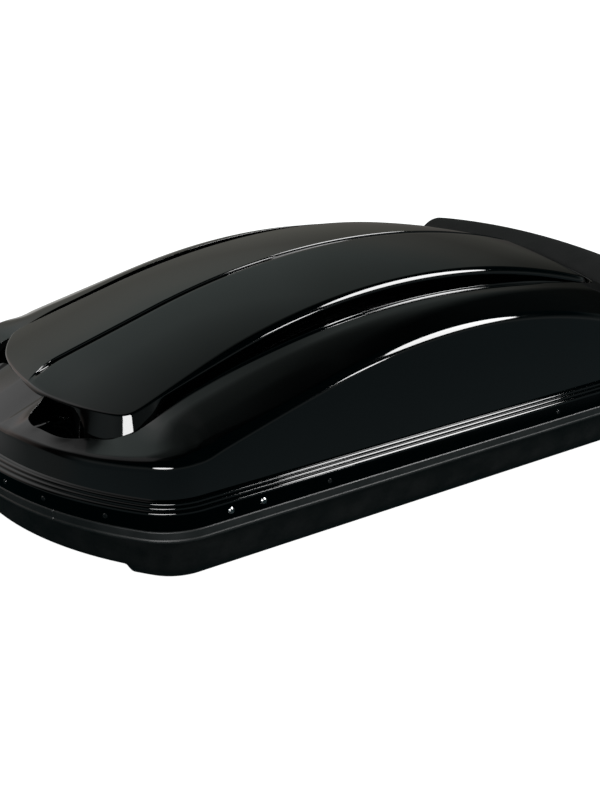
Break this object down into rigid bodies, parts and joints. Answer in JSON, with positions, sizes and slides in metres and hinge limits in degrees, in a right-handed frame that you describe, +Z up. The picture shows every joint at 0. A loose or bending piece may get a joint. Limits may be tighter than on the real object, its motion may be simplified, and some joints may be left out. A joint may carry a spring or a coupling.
{
  "type": "roof cargo box",
  "caption": "Hard-shell car roof cargo box with a crowned gloss black lid, grey rim band, shallow base, side lift hinges, gas struts and a sliding side lock.",
  "frame": {"origin": "middle of the base's flat underside, on the ground plane", "axes": "+X from the nose to the tail, +Y from the hinge side to the lock side, +Z up"},
  "size_m": [1.4396, 0.865, 0.3787],
  "materials": {
    "base_abs": "fine-grained black ABS",
    "rim_grey": "satin dark grey",
    "seal_rubber": "matt",
    "lid_gloss": "high-gloss black cap layer",
    "spoiler_grain": "grained black",
    "zinc_steel": "zinc-plated pressed steel",
    "pin_steel": "plain steel",
    "screw_chrome": "bright",
    "rivet_black": "black coated",
    "nylon_black": "moulded nylon",
    "lock_metal": "satin",
    "tube_black": "black painted",
    "rod_chrome": "polished"
  },
  "bodies": {
    "base": {"base_tray": "base_abs", "rim_profile": "rim_grey", "rim_seal": "seal_rubber", "floor_rail_left": "zinc_steel", "floor_rail_right": "zinc_steel", "floor_rail_rivets": "pin_steel", "hinge_base_bracket_front": "zinc_steel", "hinge_base_bracket_rear": "zinc_steel", "hinge_pins_lower": "pin_steel", "wall_rivets": "pin_steel", "latch_keeper_front": "zinc_steel", "latch_keeper_middle": "zinc_steel", "latch_keeper_rear": "zinc_steel", "strut_base_bracket_front": "zinc_steel", "strut_base_bracket_rear": "zinc_steel", "strut_bracket_rivets": "pin_steel"},
    "hinge_links": {"hinge_link_front": "zinc_steel", "hinge_link_rear": "zinc_steel"},
    "lid": {"lid_shell": "lid_gloss", "rear_spoiler": "spoiler_grain", "spoiler_screws": "pin_steel", "side_screws": "screw_chrome", "skirt_rivets": "rivet_black", "hinge_lid_bracket_front": "zinc_steel", "hinge_lid_bracket_rear": "zinc_steel", "hinge_pins_upper": "pin_steel", "lid_rail_left": "zinc_steel", "lid_rail_right": "zinc_steel", "lock_bar_guides": "nylon_black", "lock_housing": "nylon_black", "strut_lid_bracket_front": "nylon_black", "strut_lid_bracket_rear": "nylon_black"},
    "lock_cylinder": {"lock_cylinder": "lock_metal"},
    "lock_bar": {"lock_bar": "zinc_steel", "lock_bar_pegs": "zinc_steel"},
    "strut_tube_front": {"strut_tube_front": "tube_black"},
    "strut_tube_rear": {"strut_tube_rear": "tube_black"},
    "strut_rod_front": {"strut_rod_front": "rod_chrome"},
    "strut_rod_rear": {"strut_rod_rear": "rod_chrome"}
  },
  "joints": [
    {"name": "link_swing", "type": "hinge", "parent": "base", "child": "hinge_links", "pos_m": [0, -0.365, 0.105], "axis": [-1, 0, 0], "range_deg": [0, 18]},
    {"name": "lid_hinge", "type": "hinge", "parent": "hinge_links", "child": "lid", "pos_m": [0, -0.412, 0.118], "axis": [1, 0, 0], "range_deg": [0, 72.37]},
    {"name": "lock_turn", "type": "hinge", "parent": "lid", "child": "lock_cylinder", "pos_m": [0, 0.42, 0.112], "axis": [0, 1, 0], "range_deg": [0, 90]},
    {"name": "lock_bar_slide", "type": "slide", "parent": "lid", "child": "lock_bar", "axis": [1, 0, 0], "range_m": [0, 0.02]},
    {"name": "strut_swing_front", "type": "hinge", "parent": "base", "child": "strut_tube_front", "pos_m": [-0.48, -0.34, 0.06], "axis": [1, 0, 0], "range_deg": [0, 53.2]},
    {"name": "strut_slide_front", "type": "slide", "parent": "strut_tube_front", "child": "strut_rod_front", "axis": [0, 0.8459, 0.5333], "range_m": [0, 0.0996]},
    {"name": "strut_swing_rear", "type": "hinge", "parent": "base", "child": "strut_tube_rear", "pos_m": [0.48, -0.34, 0.06], "axis": [1, 0, 0], "range_deg": [0, 53.2]},
    {"name": "strut_slide_rear", "type": "slide", "parent": "strut_tube_rear", "child": "strut_rod_rear", "axis": [0, 0.8459, 0.5333], "range_m": [0, 0.0996]}
  ],
  "couplings": [
    {"joint": "link_swing", "follows": "lid_hinge", "ratio": 0.24},
    {"joint": "lock_turn", "follows": "lock_bar_slide", "rad_per_m": 78.5},
    {"joint": "strut_swing_front", "follows": "lid_hinge", "ratio": 0.72129},
    {"joint": "strut_slide_front", "follows": "lid_hinge", "m_per_rad": 0.07805},
    {"joint": "strut_swing_rear", "follows": "lid_hinge", "ratio": 0.72129},
    {"joint": "strut_slide_rear", "follows": "lid_hinge", "m_per_rad": 0.07805}
  ]
}
